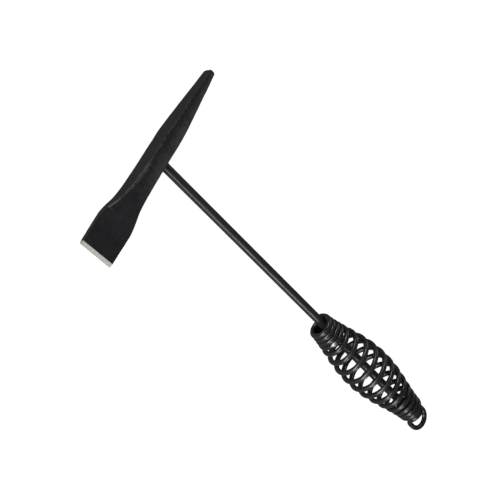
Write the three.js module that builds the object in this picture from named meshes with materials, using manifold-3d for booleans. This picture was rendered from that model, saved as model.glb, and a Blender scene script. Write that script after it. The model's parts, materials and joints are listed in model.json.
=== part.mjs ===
// Chipping hammer with a coil-spring grip, lying on its side.
// Millimetres, +Z up. +X runs along the handle from the head to the hang loop, and +Y along the
// head from the chisel blade to the pick. The origin is the centre of the box's underside.

import * as THREE from "three";
import { mergeVertices } from "three/addons/utils/BufferGeometryUtils.js";
import Module from "manifold-3d";

const wasm = await Module();
wasm.setup();

const degrees = Math.PI / 180;

// Head. Stations run along the head from blade to pick: width is along the handle, depth is
// square to the head and handle together.
const headCentreX = -11.4; // the head's centre line, from where the rod leaves its fillet
const headRake = 2.2 * degrees; // the pick leans this far away from the grip
const bladeEdge = { at: -72.0, width: 25.0, depth: 0.4 };
const bladeGrind = { at: -69.7, width: 24.8, depth: 2.8 };
const bladeHeel = { at: -54.0, width: 24.9, depth: 3.2 };
const shoulder = [
  { at: -48.5, width: 24.5, depth: 4.4 },
  { at: -42.5, width: 20.8, depth: 7.2 },
  { at: -36.0, width: 16.2, depth: 9.7 },
  { at: -25.0, width: 13.3, depth: 12.6 },
];
const bodyStart = { at: -14.0, width: 11.9, depth: 14.7 };
const bodyEnd = { at: 17.0, width: 11.4, depth: 14.7 };
const pickRoot = { at: 28.0, width: 9.5, depth: 14.7 };
const pickNeck = { at: 66.0, width: 4.4, depth: 7.6 };
const pickTip = { at: 68.4, width: 2.4, depth: 4.6 };
const cornerShare = 0.09; // corner chamfer, as a share of the thinner side
const shoulderSteps = 16;

// Shank rod and the two welds that hold it.
const rodRadius = 3.05;
const rodSides = 28;
const fitGap = 0.3; // between pieces that touch
const socketDepth = 5.6; // how far the rod goes into the head
const headWeldRadius = 4.5;
const headWeldHeight = 1.5;
const rodEndX = 280.3;
const buttWeldLength = 6.0;

// Spring grip: one wire from the mouth to the hang loop.
const wireDiameter = 3.75;
const wireSides = 8;
const stepsPerTurn = 16;
const turns = 16;
const startAngle = -57 * degrees; // about +X, from +Y towards +Z
const closePitch = 3.9;
const openPitch = 10.15;
const openingTurns = [3.1, 5.75]; // the pitch opens between these turns
const closingTurns = [10.1, 16.0]; // and closes again between these
const mouthRadius = 7.6; // of the wire's centre line
const bellyRadius = 16.1;
const buttRadius = 8.3;
const bellyShape = 1.5; // power of the sine that swells the barrel
const gripEndX = 279.4; // where the last coil turns into the loop
const gripOffset = 1.45; // of the spring's axis from the rod's at the butt
const mouthOffset = -2.3; // and at the mouth
const loopReach = 17.3; // from the last coil to the loop's far centre line
const loopHalfWidth = 7.8;
const loopOffset = -1.2; // of the loop's middle from the spring's axis
const loopLead = 5.0; // over which the wire swings from the coil into the loop
const loopSteps = 24;
const looseEnd = { radius: 7.6, from: 145 * degrees, to: 60 * degrees, x: 2.2, drop: 0.5 };
const looseEndSteps = 5;

const blackForging = new THREE.MeshStandardMaterial({
  color: 0x2b2c2e,
  roughness: 0.6,
  metalness: 0.5,
});
const blackRod = new THREE.MeshStandardMaterial({
  color: 0x242527,
  roughness: 0.4,
  metalness: 0.5,
});
const blackWire = new THREE.MeshStandardMaterial({
  color: 0x222324,
  roughness: 0.42,
  metalness: 0.5,
});

function solidOf(geometry) {
  const bare = geometry.clone();
  bare.deleteAttribute("normal");
  bare.deleteAttribute("uv");
  const merged = mergeVertices(bare, 1e-4);
  return new wasm.Manifold(
    new wasm.Mesh({
      numProp: 3,
      vertProperties: new Float32Array(merged.attributes.position.array),
      triVerts: new Uint32Array(merged.index.array),
    }),
  );
}

function geometryOf(solid) {
  const mesh = solid.getMesh();
  const geometry = new THREE.BufferGeometry();
  geometry.setAttribute("position", new THREE.BufferAttribute(mesh.vertProperties, 3));
  geometry.setIndex(new THREE.BufferAttribute(mesh.triVerts, 1));
  geometry.computeVertexNormals();
  return geometry;
}

function named(name, geometry, material) {
  const mesh = new THREE.Mesh(geometry, material);
  mesh.name = name;
  return mesh;
}

// A cylinder along +X from x0 to x1.
function barAlongX(radius, x0, x1) {
  const bar = new THREE.CylinderGeometry(radius, radius, x1 - x0, rodSides);
  bar.rotateZ(-Math.PI / 2);
  bar.translate((x0 + x1) / 2, 0, 0);
  return bar;
}

// The eight corners of one chamfered rectangular section of the head.
function sectionRing({ at, width, depth }) {
  const w = width / 2;
  const d = depth / 2;
  const cut = cornerShare * Math.min(width, depth);
  const corners = [
    [w, cut - d],
    [w, d - cut],
    [w - cut, d],
    [cut - w, d],
    [-w, d - cut],
    [-w, cut - d],
    [cut - w, -d],
    [w - cut, -d],
  ];
  return corners.map(([x, z]) => new THREE.Vector3(x, at, z));
}

// A closed solid through rings that have the same number of corners.
function loft(rings) {
  const sides = rings[0].length;
  const points = rings.flat();
  const faces = [];
  for (let ring = 0; ring + 1 < rings.length; ring++) {
    for (let side = 0; side < sides; side++) {
      const a = ring * sides + side;
      const b = ring * sides + ((side + 1) % sides);
      faces.push(a, b + sides, b, a, a + sides, b + sides);
    }
  }
  const last = (rings.length - 1) * sides;
  for (let side = 1; side + 1 < sides; side++) {
    faces.push(0, side, side + 1);
    faces.push(last, last + side + 1, last + side);
  }
  const geometry = new THREE.BufferGeometry().setFromPoints(points);
  geometry.setIndex(faces);
  return geometry;
}

// The stations of the curved neck between blade and body, as one smooth curve.
function neckStations() {
  const marks = [bladeHeel, ...shoulder, bodyStart];
  const curve = new THREE.CatmullRomCurve3(
    marks.map(({ at, width, depth }) => new THREE.Vector3(at, width, depth)),
    false,
    "chordal",
  );
  return curve
    .getPoints(shoulderSteps)
    .map((point) => ({ at: point.x, width: point.y, depth: point.z }));
}

function headGeometry() {
  const stations = [
    bladeEdge,
    bladeGrind,
    ...neckStations(),
    bodyEnd,
    pickRoot,
    pickNeck,
    pickTip,
  ];
  const blank = loft(stations.map(sectionRing));
  const underside = bodyStart.width / 2;
  const socket = barAlongX(rodRadius + fitGap, underside - socketDepth, underside + 2);
  socket.rotateZ(-headRake);
  return geometryOf(solidOf(blank).subtract(solidOf(socket)));
}

function rodGeometry() {
  const start = headCentreX + bodyStart.width / 2 - socketDepth + fitGap;
  return barAlongX(rodRadius, start, rodEndX);
}

// A fillet bead round the rod, against the underside of the head.
function headWeldGeometry() {
  const inner = rodRadius + fitGap;
  const outer = headWeldRadius;
  const profile = [
    new THREE.Vector2(inner, 0),
    new THREE.Vector2(outer, 0),
    new THREE.Vector2(outer - 0.35, headWeldHeight * 0.45),
    new THREE.Vector2(inner + 0.35, headWeldHeight),
    new THREE.Vector2(inner, headWeldHeight),
    new THREE.Vector2(inner, 0),
  ];
  const bead = new THREE.LatheGeometry(profile, rodSides);
  bead.rotateZ(-Math.PI / 2);
  bead.translate(headCentreX + bodyStart.width / 2 + 0.55, 0, 0);
  return bead;
}

// Rises smoothly from 0 to 1 between two values.
function ramp(value, [from, to]) {
  return THREE.MathUtils.smoothstep(value, from, to);
}

function pitchAt(turn) {
  const open = ramp(turn, openingTurns) * (1 - ramp(turn, closingTurns));
  return closePitch + (openPitch - closePitch) * open;
}

// Distance of each step of the coil from the mouth, from the pitch summed along the wire.
function coilAdvance() {
  const advance = [0];
  for (let step = 0; step < turns * stepsPerTurn; step++) {
    const middle = (step + 0.5) / stepsPerTurn;
    advance.push(advance[step] + pitchAt(middle) / stepsPerTurn);
  }
  return advance;
}

function barrelRadius(share) {
  const swell = Math.sin(Math.PI * THREE.MathUtils.clamp(share, 0, 1)) ** bellyShape;
  const ends = THREE.MathUtils.lerp(mouthRadius, buttRadius, share);
  return ends + (bellyRadius - ends) * swell;
}

// Points of the coil, with x = 0 at the end that carries the loop.
function coilPoints() {
  const advance = coilAdvance();
  const length = advance[advance.length - 1];
  return advance.map((x, step) => {
    const angle = startAngle + (step / stepsPerTurn) * 2 * Math.PI;
    const radius = barrelRadius(x / length);
    return new THREE.Vector3(x - length, radius * Math.cos(angle), radius * Math.sin(angle));
  });
}

// The loose end of the wire, which curls back against the last coil.
function looseEndPoints() {
  const points = [];
  for (let step = 0; step <= looseEndSteps; step++) {
    const share = step / looseEndSteps;
    const angle = THREE.MathUtils.lerp(looseEnd.from, looseEnd.to, share);
    const y = looseEnd.radius * Math.cos(angle);
    const z = looseEnd.radius * Math.sin(angle);
    points.push(new THREE.Vector3(looseEnd.x - looseEnd.drop * share, y, z));
  }
  return points;
}

// The hang loop: from the last coil out along +X, round a half circle and back to the coil.
function loopCurve(coil) {
  const from = coil[coil.length - 1];
  const heading = from.clone().sub(coil[coil.length - 2]).normalize();
  const [to, next] = looseEndPoints();
  const arriving = next.clone().sub(to).normalize();
  const bend = loopReach - loopHalfWidth;
  const upper = loopOffset + loopHalfWidth;
  const lower = loopOffset - loopHalfWidth;
  const round = 0.5523 * loopHalfWidth; // makes two cubic curves a half circle
  const upperStart = new THREE.Vector3(loopLead, upper, 0);
  const upperEnd = new THREE.Vector3(bend, upper, 0);
  const crown = new THREE.Vector3(loopReach, loopOffset, 0);
  const lowerStart = new THREE.Vector3(bend, lower, 0);
  const lowerEnd = new THREE.Vector3(1.4 * loopLead, lower, 0);
  const path = new THREE.CurvePath();
  const addBend = (start, startHandle, endHandle, end) =>
    path.add(
      new THREE.CubicBezierCurve3(
        start,
        start.clone().add(startHandle),
        end.clone().add(endHandle),
        end,
      ),
    );
  addBend(
    from,
    heading.clone().multiplyScalar(0.45 * buttRadius),
    new THREE.Vector3(-0.75 * loopLead, 0, -0.4),
    upperStart,
  );
  path.add(new THREE.LineCurve3(upperStart, upperEnd));
  addBend(upperEnd, new THREE.Vector3(round, 0, 0), new THREE.Vector3(0, round, 0), crown);
  addBend(crown, new THREE.Vector3(0, -round, 0), new THREE.Vector3(round, 0, 0), lowerStart);
  path.add(new THREE.LineCurve3(lowerStart, lowerEnd));
  addBend(
    lowerEnd,
    new THREE.Vector3(-0.8 * loopLead, 0, 0),
    arriving.clone().multiplyScalar(-0.35 * looseEnd.radius),
    to,
  );
  return path;
}

// The wire's centre line, with a step at each of its points however far apart they lie.
class WirePath extends THREE.CatmullRomCurve3 {
  getUtoTmapping(u) {
    return u;
  }
}

function wirePoints() {
  const coil = coilPoints();
  const loop = loopCurve(coil).getSpacedPoints(loopSteps);
  return [...coil, ...loop.slice(1), ...looseEndPoints().slice(1)];
}

function wireGeometry() {
  const points = wirePoints();
  const section = new THREE.Shape();
  for (let side = 0; side < wireSides; side++) {
    const angle = (side / wireSides) * 2 * Math.PI;
    const x = (wireDiameter / 2) * Math.cos(angle);
    const y = (wireDiameter / 2) * Math.sin(angle);
    if (side === 0) section.moveTo(x, y);
    else section.lineTo(x, y);
  }
  return new THREE.ExtrudeGeometry(section, {
    steps: points.length - 1,
    extrudePath: new WirePath(points),
  });
}

// The weld that fills the last coils round the end of the rod, on the spring's own axis.
function buttWeldGeometry() {
  const outer = looseEnd.radius - wireDiameter / 2 - fitGap;
  const profile = [
    new THREE.Vector2(0, 0),
    new THREE.Vector2(outer - 1.2, 0),
    new THREE.Vector2(outer, 1.2),
    new THREE.Vector2(outer, buttWeldLength - 1.2),
    new THREE.Vector2(outer - 1.2, buttWeldLength),
    new THREE.Vector2(0, buttWeldLength),
  ];
  const plug = new THREE.LatheGeometry(profile, rodSides);
  plug.rotateZ(-Math.PI / 2);
  plug.translate(rodEndX + 0.4 - buttWeldLength, gripOffset, 0);
  const hole = barAlongX(rodRadius + fitGap, rodEndX - 2 * buttWeldLength, rodEndX + fitGap + 2);
  return geometryOf(solidOf(plug).subtract(solidOf(hole)));
}

function buildHammer() {
  const hammer = new THREE.Group();
  const head = named("hammer_head", headGeometry(), blackForging);
  head.position.x = headCentreX;
  head.rotation.z = headRake;
  const grip = named("spring_grip", wireGeometry(), blackWire);
  const coil = coilPoints();
  const gripLength = -coil[0].x;
  grip.position.set(gripEndX, gripOffset, 0);
  grip.rotation.z = Math.asin((gripOffset - mouthOffset) / gripLength);
  hammer.add(
    head,
    named("head_weld", headWeldGeometry(), blackForging),
    named("shank_rod", rodGeometry(), blackRod),
    grip,
    named("butt_weld", buttWeldGeometry(), blackWire),
  );
  return hammer;
}

// Leans the hammer until the head's side and the barrel's belly touch one level surface.
function layDown(hammer) {
  const barrel = bellyRadius + wireDiameter / 2;
  const coil = coilPoints();
  const bellyX = gripEndX + coil[0].x / 2;
  const headX = headCentreX - bodyStart.width / 2;
  hammer.rotation.y = -Math.atan2(barrel - bodyStart.depth / 2, bellyX - headX);
  const assembly = new THREE.Group();
  assembly.add(hammer);
  assembly.updateMatrixWorld(true);
  const box = new THREE.Box3().setFromObject(assembly, true);
  const middle = box.getCenter(new THREE.Vector3());
  hammer.position.set(-middle.x, -middle.y, -box.min.z);
  return assembly;
}

export default layDown(buildHammer());
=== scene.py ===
"""The looks of a chipping hammer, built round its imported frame.

Hammer coordinates are millimetres from the point where the shank's axis meets the head's centre
line. X runs down the handle to the hang loop, Y along the head from the chisel blade to the pick,
and Z out of the side that lies uppermost.
"""

import json
import logging
import math
from dataclasses import dataclass, field
from enum import Enum
from functools import cache
from typing import Any, Callable, Mapping, Sequence

import bpy
import numpy as np
from mathutils import Matrix, Vector, noise
from mathutils.geometry import interpolate_bezier


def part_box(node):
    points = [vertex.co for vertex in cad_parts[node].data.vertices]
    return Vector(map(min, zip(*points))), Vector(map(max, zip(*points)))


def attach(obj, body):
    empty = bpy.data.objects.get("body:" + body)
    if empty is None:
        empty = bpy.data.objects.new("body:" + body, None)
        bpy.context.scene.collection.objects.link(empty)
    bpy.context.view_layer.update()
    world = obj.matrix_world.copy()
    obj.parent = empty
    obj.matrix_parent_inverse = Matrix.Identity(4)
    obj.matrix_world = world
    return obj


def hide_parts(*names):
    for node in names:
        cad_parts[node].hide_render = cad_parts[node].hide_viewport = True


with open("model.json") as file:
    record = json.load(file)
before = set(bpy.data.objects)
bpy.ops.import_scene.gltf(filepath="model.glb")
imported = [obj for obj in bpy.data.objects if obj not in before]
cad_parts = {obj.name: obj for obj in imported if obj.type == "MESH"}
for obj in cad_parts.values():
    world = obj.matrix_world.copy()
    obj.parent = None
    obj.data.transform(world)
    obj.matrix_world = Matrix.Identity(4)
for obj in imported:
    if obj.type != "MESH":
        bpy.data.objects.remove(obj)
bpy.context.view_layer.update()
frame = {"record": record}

MM = 0.001
log = logging.getLogger("chipping_hammer")


# ---------------------------------------------------------------- places


@dataclass(frozen=True)
class HammerAxes:
    """Where the hammer lies: its origin on the shank's axis and its own three directions."""

    origin: Vector
    along: Vector
    across: Vector
    out: Vector

    @classmethod
    def from_record(cls, record: Mapping[str, Any]) -> "HammerAxes":
        """Finds the hammer from the two flats of its head.

        Args:
            record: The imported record, whose mounts name the head's two flats.

        Returns:
            The hammer's origin and directions in the row's frame.
        """
        mounts = {mount["name"]: mount for mount in record["mounts"]}
        top = Vector(mounts["head_side"]["pos_m"])
        bottom = Vector(mounts["head_underside"]["pos_m"])
        out = (top - bottom).normalized()
        across = Vector((0.0, 1.0, 0.0))
        return cls((top + bottom) / 2, across.cross(out), across, out)

    def matrix(self) -> Matrix:
        """Returns the matrix from hammer millimetres to the row's metres."""
        turn = Matrix((self.along, self.across, self.out)).transposed().to_4x4()
        return Matrix.Translation(self.origin) @ turn @ Matrix.Scale(MM, 4)

    def length_along(self, node: str) -> float:
        """Measures a straight round bar that lies along the handle.

        Args:
            node: The CAD node's name.

        Returns:
            The bar's length in millimetres.
        """
        low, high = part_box(node)
        thickness = high[1] - low[1]
        span = high[0] - low[0] - thickness * abs(self.along.z)
        return span / self.along.x / MM


# ---------------------------------------------------------------- node trees


class Graph:
    """A node tree with short calls that make a node, fill its inputs and link it."""

    column_width = 190
    row_height = 170
    rows = 6

    def __init__(self, tree: bpy.types.NodeTree) -> None:
        """Starts on an empty or new tree.

        Args:
            tree: The geometry or shader tree to build in.
        """
        self.tree = tree

    def add(
        self, kind: str, inputs: Mapping[Any, Any] | None = None, **settings: Any
    ) -> bpy.types.Node:
        """Makes one node.

        Args:
            kind: The node's type name.
            inputs: Socket names or numbers, each with a value or an output to link.
            **settings: The node's own properties.

        Returns:
            The new node.
        """
        node = self.tree.nodes.new(kind)
        count = len(self.tree.nodes)
        column, row = divmod(count, self.rows)
        node.location = (column * self.column_width, -row * self.row_height)
        for name, value in settings.items():
            setattr(node, name, value)
        for key, value in (inputs or {}).items():
            if isinstance(value, bpy.types.NodeSocket):
                self.tree.links.new(value, node.inputs[key])
            else:
                node.inputs[key].default_value = value
        return node

    def math(self, operation: str, *values: Any) -> bpy.types.NodeSocket:
        """Returns the result of one Math node on up to three values."""
        return self.add("ShaderNodeMath", dict(enumerate(values)), operation=operation).outputs[0]

    def spread(self, value: Any, low: Any, high: Any, to_low: Any = 0.0, to_high: Any = 1.0,
               smooth: bool = True) -> bpy.types.NodeSocket:
        """Maps a value from one range to another, held at both ends.

        Args:
            value: What is mapped.
            low: The start of its range.
            high: The end of its range.
            to_low: The result at the start.
            to_high: The result at the end.
            smooth: Whether the result eases in and out.

        Returns:
            The mapped value.
        """
        kind = "SMOOTHSTEP" if smooth else "LINEAR"
        inputs = {0: value, 1: low, 2: high, 3: to_low, 4: to_high}
        return self.add("ShaderNodeMapRange", inputs, interpolation_type=kind).outputs[0]

    def noise(self, vector: Any, scale: Any, detail: float = 2.0, roughness: float = 0.5,
              distortion: float = 0.0) -> bpy.types.NodeSocket:
        """Adds a three-dimensional noise.

        Args:
            vector: Where it is read.
            scale: How many features fit in one unit.
            detail: How many finer layers it has.
            roughness: How strong those layers are.
            distortion: How far it is bent by itself.

        Returns:
            The noise's value, about 0 to 1.
        """
        inputs = {"Vector": vector, "Scale": scale, "Detail": detail, "Roughness": roughness,
                  "Distortion": distortion}
        return self.add("ShaderNodeTexNoise", inputs).outputs[0]

    def blend(self, factor: Any, first: Any, second: Any) -> bpy.types.NodeSocket:
        """Returns one colour mixed into another."""
        return self.add("ShaderNodeMix", {0: factor, 6: first, 7: second}, data_type="RGBA").outputs[2]

    def combine(self, x: Any, y: Any, z: Any) -> bpy.types.NodeSocket:
        """Returns a vector of three values."""
        return self.add("ShaderNodeCombineXYZ", {0: x, 1: y, 2: z}).outputs[0]

    def circle(self, sides: Any, radius: Any) -> bpy.types.NodeSocket:
        """Returns a round curve, in a geometry tree."""
        inputs = {"Resolution": sides, "Radius": radius}
        return self.add("GeometryNodeCurvePrimitiveCircle", inputs).outputs[0]

    def attribute(self, name: str) -> bpy.types.NodeSocket:
        """Returns the value of one of the mesh's own attributes, in a shader tree."""
        return self.add("ShaderNodeAttribute", attribute_name=name).outputs["Fac"]

    def millimetres(self) -> bpy.types.NodeSocket:
        """Returns the surface's place in the piece, in millimetres, in a shader tree."""
        place = self.add("ShaderNodeTexCoord").outputs["Object"]
        inputs = {0: place, "Scale": 1 / MM}
        return self.add("ShaderNodeVectorMath", inputs, operation="SCALE").outputs[0]


def open_group(
    name: str, kind: str, inputs: Mapping[str, tuple[str, Any]], outputs: Mapping[str, str]
) -> tuple[Graph, bpy.types.Node, bpy.types.Node]:
    """Makes a node group with named sockets.

    Args:
        name: The group's name.
        kind: ShaderNodeTree or GeometryNodeTree.
        inputs: Each input's name, with its socket type and default, or None for no default.
        outputs: Each output's name, with its socket type.

    Returns:
        The graph, its group input node and its group output node.
    """
    tree = bpy.data.node_groups.new(name, kind)
    for label, (socket_type, default) in inputs.items():
        socket = tree.interface.new_socket(label, in_out="INPUT", socket_type=socket_type)
        if default is not None:
            socket.default_value = default
    for label, socket_type in outputs.items():
        tree.interface.new_socket(label, in_out="OUTPUT", socket_type=socket_type)
    graph = Graph(tree)
    return graph, graph.add("NodeGroupInput"), graph.add("NodeGroupOutput")


FLOAT = "NodeSocketFloat"
INTEGER = "NodeSocketInt"
VECTOR = "NodeSocketVector"
GEOMETRY = "NodeSocketGeometry"
MATERIAL = "NodeSocketMaterial"


# ---------------------------------------------------------------- shared surface effects


@cache
def forge_scale_group() -> bpy.types.NodeTree:
    """Builds the mottled, pitted skin that hot forging leaves under black paint.

    Returns:
        A group with Mottle, Pits and Height outputs.
    """
    graph, given, result = open_group(
        "forge_scale",
        "ShaderNodeTree",
        {"Vector": (VECTOR, None), "Grain": (FLOAT, 1.0), "Pitting": (FLOAT, 0.5)},
        {"Mottle": FLOAT, "Pits": FLOAT, "Height": FLOAT},
    )
    place, grain = given.outputs["Vector"], given.outputs["Grain"]
    broad = graph.noise(place, graph.math("MULTIPLY", grain, 0.16), 4.0, 0.62, 0.6)
    fine = graph.noise(place, graph.math("MULTIPLY", grain, 0.9), 5.0, 0.68, 0.3)
    mottle = graph.math("ADD", graph.math("MULTIPLY", broad, 0.4), graph.math("MULTIPLY", fine, 0.6))
    cells = graph.add(
        "ShaderNodeTexVoronoi",
        {"Vector": place, "Scale": graph.math("MULTIPLY", grain, 0.75), "Randomness": 1.0},
        feature="SMOOTH_F1",
    ).outputs["Distance"]
    hollows = graph.spread(cells, 0.0, 0.42, 1.0, 0.0)
    patchy = graph.spread(broad, 0.42, 0.68)
    pits = graph.math("MULTIPLY", hollows, graph.math("MULTIPLY", patchy, given.outputs["Pitting"]))
    height = graph.math("SUBTRACT", graph.math("MULTIPLY", fine, 0.5), pits)
    links = graph.tree.links
    links.new(graph.spread(mottle, 0.3, 0.7, smooth=False), result.inputs["Mottle"])
    links.new(pits, result.inputs["Pits"])
    links.new(height, result.inputs["Height"])
    return graph.tree


@cache
def edge_wear_group() -> bpy.types.NodeTree:
    """Builds the broken line of rubbed paint along an edge.

    Returns:
        A group that turns an edge value of 0 to 1 into a Mask.
    """
    graph, given, result = open_group(
        "edge_wear",
        "ShaderNodeTree",
        {"Edge": (FLOAT, 0.0), "Vector": (VECTOR, None), "Reach": (FLOAT, 0.5), "Breakup": (FLOAT, 0.5)},
        {"Mask": FLOAT},
    )
    place = given.outputs["Vector"]
    rough = graph.noise(place, 0.55, 6.0, 0.72, 0.4)
    start = graph.math("SUBTRACT", 1.0, given.outputs["Reach"])
    shifted = graph.math(
        "MULTIPLY_ADD", graph.math("SUBTRACT", rough, 0.5), given.outputs["Breakup"], given.outputs["Edge"]
    )
    mask = graph.spread(shifted, start, graph.math("ADD", start, 0.35))
    graph.tree.links.new(mask, result.inputs["Mask"])
    return graph.tree


@cache
def drawn_lines_group() -> bpy.types.NodeTree:
    """Builds the fine lines that run along drawn bar and wire.

    Returns:
        A group with a Lines value of 0 to 1.
    """
    graph, given, result = open_group(
        "drawn_lines",
        "ShaderNodeTree",
        {"Along": (FLOAT, 0.0), "Around": (FLOAT, 0.0), "Density": (FLOAT, 30.0), "Length": (FLOAT, 12.0)},
        {"Lines": FLOAT},
    )
    turn = graph.math("MULTIPLY", given.outputs["Around"], 2 * math.pi)
    circle = graph.math("DIVIDE", given.outputs["Density"], 2 * math.pi)
    place = graph.combine(
        graph.math("DIVIDE", given.outputs["Along"], given.outputs["Length"]),
        graph.math("MULTIPLY", graph.math("COSINE", turn), circle),
        graph.math("MULTIPLY", graph.math("SINE", turn), circle),
    )
    lines = graph.noise(place, 1.0, 3.0, 0.6)
    graph.tree.links.new(graph.spread(lines, 0.3, 0.7, smooth=False), result.inputs["Lines"])
    return graph.tree


@cache
def handling_group() -> bpy.types.NodeTree:
    """Builds the specks and faint rubs that handling leaves on black paint.

    Returns:
        A group with Specks and Rubs masks.
    """
    graph, given, result = open_group(
        "handling_marks",
        "ShaderNodeTree",
        {"Vector": (VECTOR, None), "Specks": (FLOAT, 0.3), "Rubs": (FLOAT, 0.3)},
        {"Specks": FLOAT, "Rubs": FLOAT},
    )
    place = given.outputs["Vector"]
    cells = graph.add("ShaderNodeTexVoronoi", {"Vector": place, "Scale": 0.42, "Randomness": 1.0})
    chance = graph.add("ShaderNodeSeparateColor", {0: cells.outputs["Color"]}).outputs[0]
    rare = graph.math("GREATER_THAN", chance, graph.math("SUBTRACT", 1.0, given.outputs["Specks"]))
    dot = graph.spread(cells.outputs["Distance"], 0.05, 0.13, 1.0, 0.0)
    cloud = graph.noise(place, 0.09, 5.0, 0.65, 1.2)
    rubs = graph.math("MULTIPLY", graph.spread(cloud, 0.52, 0.72), given.outputs["Rubs"])
    links = graph.tree.links
    links.new(graph.math("MULTIPLY", dot, rare), result.inputs["Specks"])
    links.new(rubs, result.inputs["Rubs"])
    return graph.tree


# ---------------------------------------------------------------- finishes

Colour = tuple[float, float, float, float]


def grey(value: float, warmth: float = 0.0) -> Colour:
    """Returns a neutral linear colour, warmed or cooled a little."""
    return (value, value, value * (1 - warmth), 1.0)


def open_material(name: str) -> tuple[bpy.types.Material, Graph, bpy.types.Node]:
    """Makes an empty material.

    Args:
        name: The material's name.

    Returns:
        The material, its graph and its Principled node, already linked to the output.
    """
    material = bpy.data.materials.new(name)
    material.use_nodes = True
    material.node_tree.nodes.clear()
    graph = Graph(material.node_tree)
    surface = graph.add("ShaderNodeBsdfPrincipled")
    graph.add("ShaderNodeOutputMaterial", {"Surface": surface.outputs[0]})
    return material, graph, surface


def use_group(graph: Graph, group: bpy.types.NodeTree, inputs: Mapping[str, Any]) -> bpy.types.Node:
    """Places a shader group in a material.

    Args:
        graph: The material's graph.
        group: The group.
        inputs: The group's inputs by name.

    Returns:
        The group node.
    """
    node = graph.add("ShaderNodeGroup", node_tree=group)
    for name, value in inputs.items():
        if isinstance(value, bpy.types.NodeSocket):
            graph.tree.links.new(value, node.inputs[name])
        else:
            node.inputs[name].default_value = value
    return node


def worn_edges(graph: Graph, place: Any, reach: float, breakup: float) -> bpy.types.NodeSocket:
    """Places the edge wear group in a material.

    Args:
        graph: The material's graph.
        place: The surface's place in millimetres.
        reach: How far in from an edge the paint is rubbed.
        breakup: How broken the rubbed line is.

    Returns:
        The mask of rubbed paint.
    """
    inputs = {"Edge": graph.attribute("edge"), "Vector": place, "Reach": reach, "Breakup": breakup}
    return use_group(graph, edge_wear_group(), inputs).outputs["Mask"]


def add_bump(graph: Graph, surface: bpy.types.Node, height: Any, depth: float) -> None:
    """Gives a surface fine relief.

    Args:
        graph: The material's graph.
        surface: The Principled node.
        height: The relief's height, about 0 to 1.
        depth: What a height of 1 measures, in millimetres.
    """
    bump = graph.add("ShaderNodeBump", {"Height": height, "Distance": depth * MM, "Strength": 1.0})
    graph.tree.links.new(bump.outputs[0], surface.inputs["Normal"])


@dataclass(frozen=True)
class BlackForging:
    """Thin black paint over a scaled forging, rubbed along its edges, with a painted sheen on the broad
    sides.
    """

    name: str = "black_forging"
    paint: Colour = grey(0.0095, -0.14)
    mottled: Colour = grey(0.025, -0.14)
    # The two tones of the painted sheen that lightens the broad sides towards the grip.
    sheen_tone: Colour = grey(0.036, -0.08)
    sheen_light: Colour = grey(0.1, -0.06)
    rubbed: Colour = grey(0.036, -0.1)
    bare: Colour = grey(0.13)
    pitted: Colour = grey(0.004)
    smoothest: float = 0.42
    roughest: float = 0.62
    gloss: float = 0.36
    relief: float = 0.18
    # How much the mottle breaks up the painted sheen.
    sheen_breakup: float = 0.5
    grain: float = 1.0
    pitting: float = 0.7
    wear_reach: float = 0.42
    wear_breakup: float = 0.7
    wear_strength: float = 0.75
    specks: float = 0.05
    speck_strength: float = 0.8
    rubs: float = 0.35
    seam_strength: float = 0.85
    pit_roughness: float = 0.25

    def material(self) -> bpy.types.Material:
        """Mixes the finish.

        Returns:
            The Blender material.
        """
        material, graph, surface = open_material(self.name)
        place = graph.millimetres()
        scale = use_group(
            graph,
            forge_scale_group(),
            {"Vector": place, "Grain": self.grain, "Pitting": self.pitting},
        )
        wear = worn_edges(graph, place, self.wear_reach, self.wear_breakup)
        marks = use_group(
            graph, handling_group(), {"Vector": place, "Specks": self.specks, "Rubs": self.rubs}
        )
        seam = graph.attribute("seam")
        line = graph.math("MULTIPLY", seam, self.seam_strength)
        dark = graph.math("MAXIMUM", scale.outputs["Pits"], line)
        base = graph.blend(scale.outputs["Mottle"], self.paint, self.mottled)
        # Painted sheen: the broad sides are lightened towards the grip, in place of the light falling on
        # their curve, broken up by the mottle.
        cloud = graph.math("SUBTRACT", scale.outputs["Mottle"], 0.5)
        painted_sheen = graph.math("MULTIPLY_ADD", cloud, self.sheen_breakup, graph.attribute("painted_sheen"))
        sheen_tone = graph.blend(scale.outputs["Mottle"], self.sheen_tone, self.sheen_light)
        base = graph.blend(graph.spread(painted_sheen, 0.1, 1.0), base, sheen_tone)
        base = graph.blend(marks.outputs["Rubs"], base, self.rubbed)
        base = graph.blend(dark, base, self.pitted)
        light = graph.math("MAXIMUM", graph.math("MULTIPLY", wear, self.wear_strength),
                           graph.math("MULTIPLY", marks.outputs["Specks"], self.speck_strength))
        base = graph.blend(light, base, self.bare)
        rough = graph.spread(scale.outputs["Mottle"], 0.0, 1.0, self.smoothest, self.roughest, False)
        links = graph.tree.links
        links.new(base, surface.inputs["Base Color"])
        rougher = graph.math("MULTIPLY", dark, self.pit_roughness)
        links.new(graph.math("ADD", rough, rougher), surface.inputs["Roughness"])
        surface.inputs["Specular IOR Level"].default_value = self.gloss
        add_bump(graph, surface, scale.outputs["Height"], self.relief)
        return material


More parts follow.
